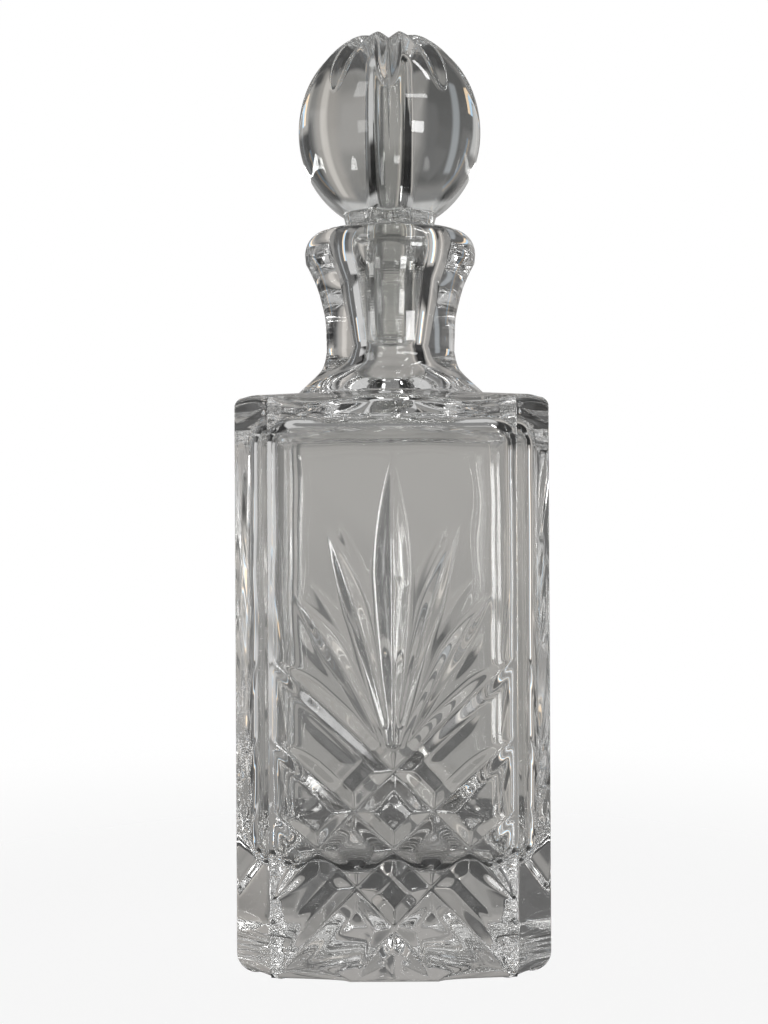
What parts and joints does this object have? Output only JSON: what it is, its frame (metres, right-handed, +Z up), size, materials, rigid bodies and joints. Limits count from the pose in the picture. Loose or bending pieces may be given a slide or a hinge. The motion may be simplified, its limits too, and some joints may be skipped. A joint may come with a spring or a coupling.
{
  "type": "decanter",
  "caption": "Square cut glass decanter with chamfered corners, a thick base, a waisted round neck, V-cut fans and diamonds on its faces, and a fluted ball stopper that lifts out.",
  "frame": {"origin": "centre of the underside, on the surface that the decanter stands on", "axes": "+Z up along the common axis of bottle and stopper; the four cut faces look along -Y (front), +X, +Y and -X"},
  "size_m": [0.088, 0.088, 0.2722],
  "materials": {
    "bottle_glass": "clear polished, V-cut on four faces",
    "stopper_glass": "clear polished ball with cut flutes, finely ground plug"
  },
  "bodies": {
    "bottle_body": {"bottle": "bottle_glass"},
    "stopper_body": {"stopper": "stopper_glass"}
  },
  "joints": [
    {"name": "stopper_lift", "type": "slide", "parent": "bottle_body", "child": "stopper_body", "axis": [0, 0, 1], "range_m": [0, 0.055]}
  ]
}
